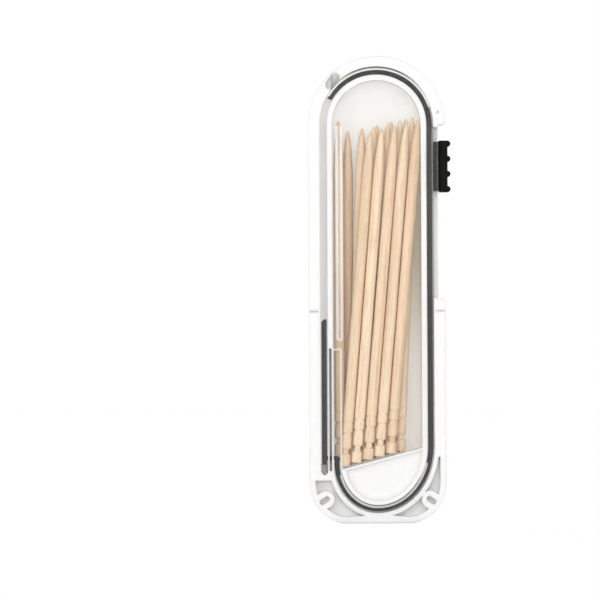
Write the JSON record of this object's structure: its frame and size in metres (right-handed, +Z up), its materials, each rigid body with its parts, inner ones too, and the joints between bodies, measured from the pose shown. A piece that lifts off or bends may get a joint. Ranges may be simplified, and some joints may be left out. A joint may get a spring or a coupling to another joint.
{
  "type": "toothpick dispenser",
  "caption": "Slim pocket toothpick dispenser: a thumb slide drives a strip round the case that uncovers the exit and pushes one toothpick out of the top.",
  "frame": {"origin": "middle of the flat base that the dispenser stands on", "axes": "+Z up towards the exit, +X towards the thumb slide, +Y from the clear cover towards the white label face"},
  "size_m": [0.0277, 0.0094, 0.0907],
  "materials": {
    "white_plastic": "glossy moulded white",
    "clear_plastic": "clear polished",
    "black_plastic": "satin moulded black",
    "birch_wood": "bare turned birch"
  },
  "bodies": {
    "case": {"front_shell": "white_plastic", "back_cover": "clear_plastic", "drive_strip": "black_plastic", "strip_upper_run": "black_plastic", "strip_lower_run": "black_plastic", "toothpick_01": "birch_wood", "toothpick_02": "birch_wood", "toothpick_03": "birch_wood", "toothpick_04": "birch_wood", "toothpick_05": "birch_wood", "toothpick_06": "birch_wood", "toothpick_07": "birch_wood", "toothpick_08": "birch_wood", "toothpick_09": "birch_wood", "toothpick_10": "birch_wood", "toothpick_11": "birch_wood", "toothpick_12": "birch_wood", "toothpick_13": "birch_wood", "toothpick_14": "birch_wood", "toothpick_15": "birch_wood"},
    "slider": {"thumb_slider": "black_plastic"},
    "pusher": {"pusher": "black_plastic", "loaded_toothpick": "birch_wood"},
    "shutter": {"shutter_tip": "black_plastic"}
  },
  "joints": [
    {"name": "slider_travel", "type": "slide", "parent": "case", "child": "slider", "axis": [0, 0, -1], "range_m": [-0.0016, 0.0205]},
    {"name": "pusher_lift", "type": "slide", "parent": "case", "child": "pusher", "axis": [0, 0, 1], "range_m": [-0.0016, 0.0205], "deforming": ["strip_lower_run"]},
    {"name": "shutter_swing", "type": "hinge", "parent": "case", "child": "shutter", "pos_m": [0, 0, 0.07738], "axis": [0, 1, 0], "range_deg": [-8.9, 113.8], "deforming": ["strip_upper_run"]}
  ],
  "couplings": [
    {"joint": "pusher_lift", "follows": "slider_travel", "ratio": 1},
    {"joint": "shutter_swing", "follows": "slider_travel", "rad_per_m": 96.85}
  ]
}
